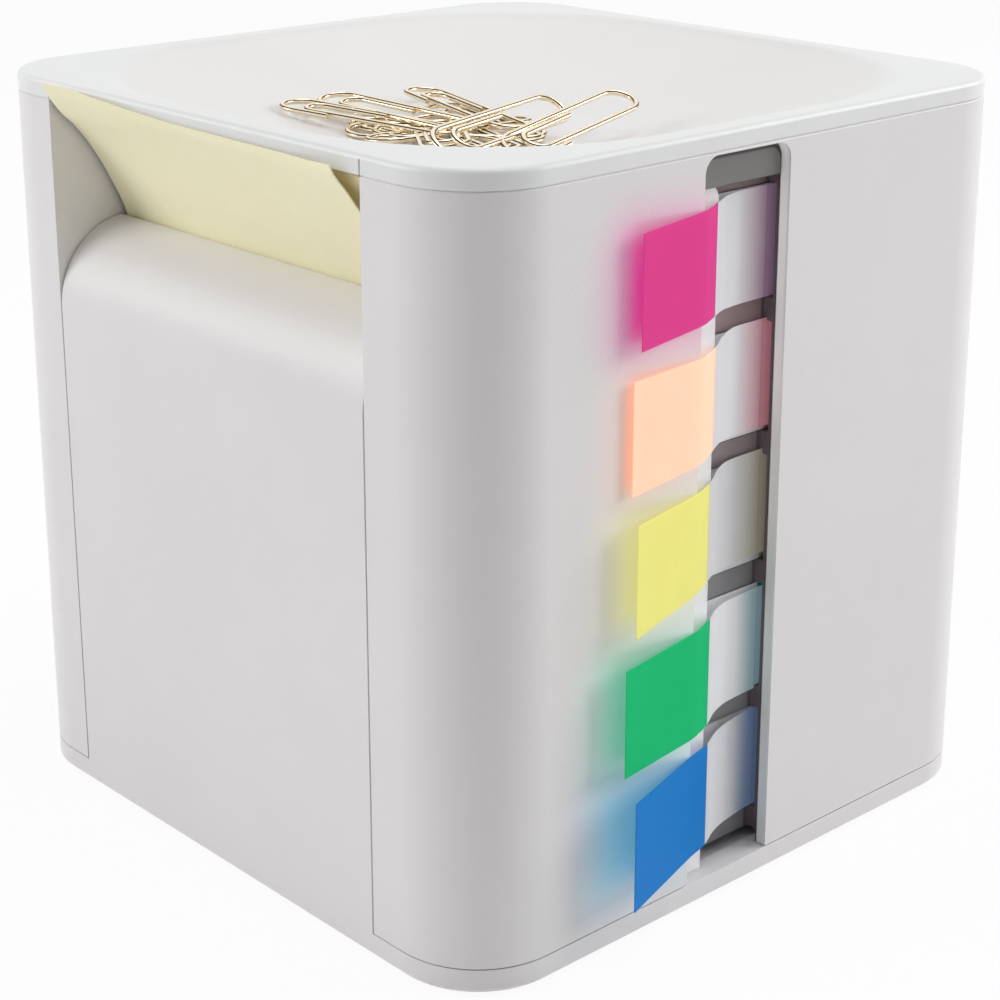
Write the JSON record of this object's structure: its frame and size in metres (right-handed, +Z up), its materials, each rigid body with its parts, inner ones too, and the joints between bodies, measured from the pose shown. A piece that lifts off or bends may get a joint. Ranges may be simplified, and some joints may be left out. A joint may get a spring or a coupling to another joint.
{
  "type": "sticky note dispenser",
  "caption": "Rounded box that dispenses sticky notes over a barrel at the front and film flags from a side slot, with a paper clip dish in its lid.",
  "frame": {"origin": "centre of the body's footprint at the desk surface", "axes": "+Z up, -Y out of the face with the note window, +X out of the face with the flag slot"},
  "size_m": [0.1312, 0.1284, 0.1272],
  "materials": {
    "shell_plastic": "satin",
    "lid_plastic": "satin",
    "base_plastic": "satin",
    "inner_plastic": "matt",
    "clear_plastic": "clear",
    "antislip_rubber": "matt",
    "ballast_steel": "zinc plated",
    "fixing_steel": "zinc plated",
    "spring_steel": "bright",
    "magnet_ferrite": "matt",
    "clip_wire": "bright",
    "note_paper": "matt",
    "film_white": "translucent film",
    "film_pink": "film",
    "film_peach": "film",
    "film_yellow": "film",
    "film_green": "film",
    "film_blue": "film"
  },
  "bodies": {
    "base": {"base_tray": "base_plastic", "antislip_pad": "antislip_rubber", "ballast_plate": "ballast_steel", "base_screws": "fixing_steel", "note_magazine": "inner_plastic", "note_pad": "note_paper", "popped_note": "note_paper", "pusher_spring": "spring_steel", "flag_cassette": "inner_plastic", "flag_guard": "clear_plastic", "flag_pad_pink": "film_white", "flag_pad_peach": "film_white", "flag_pad_yellow": "film_white", "flag_pad_green": "film_white", "flag_pad_blue": "film_white", "flag_pink": "film_pink", "flag_peach": "film_peach", "flag_yellow": "film_yellow", "flag_green": "film_green", "flag_blue": "film_blue"},
    "cover": {"cover_shell": "shell_plastic", "lid_tray": "lid_plastic", "lid_screws": "fixing_steel", "dish_magnet": "magnet_ferrite", "magnet_cap": "inner_plastic", "paper_clips": "clip_wire"},
    "pusher": {"pusher_plate": "inner_plastic", "guide_rod": "fixing_steel", "rod_clip": "fixing_steel"}
  },
  "joints": [
    {"name": "cover_lift", "type": "slide", "parent": "base", "child": "cover", "axis": [0, 0, 1], "range_m": [0, 0.125]},
    {"name": "pusher_slide", "type": "slide", "parent": "base", "child": "pusher", "axis": [0, 1, 0], "range_m": [0, 0.022], "stiffness_N_per_m": 60, "springref_m": -0.02, "deforming": ["pusher_spring"]}
  ]
}
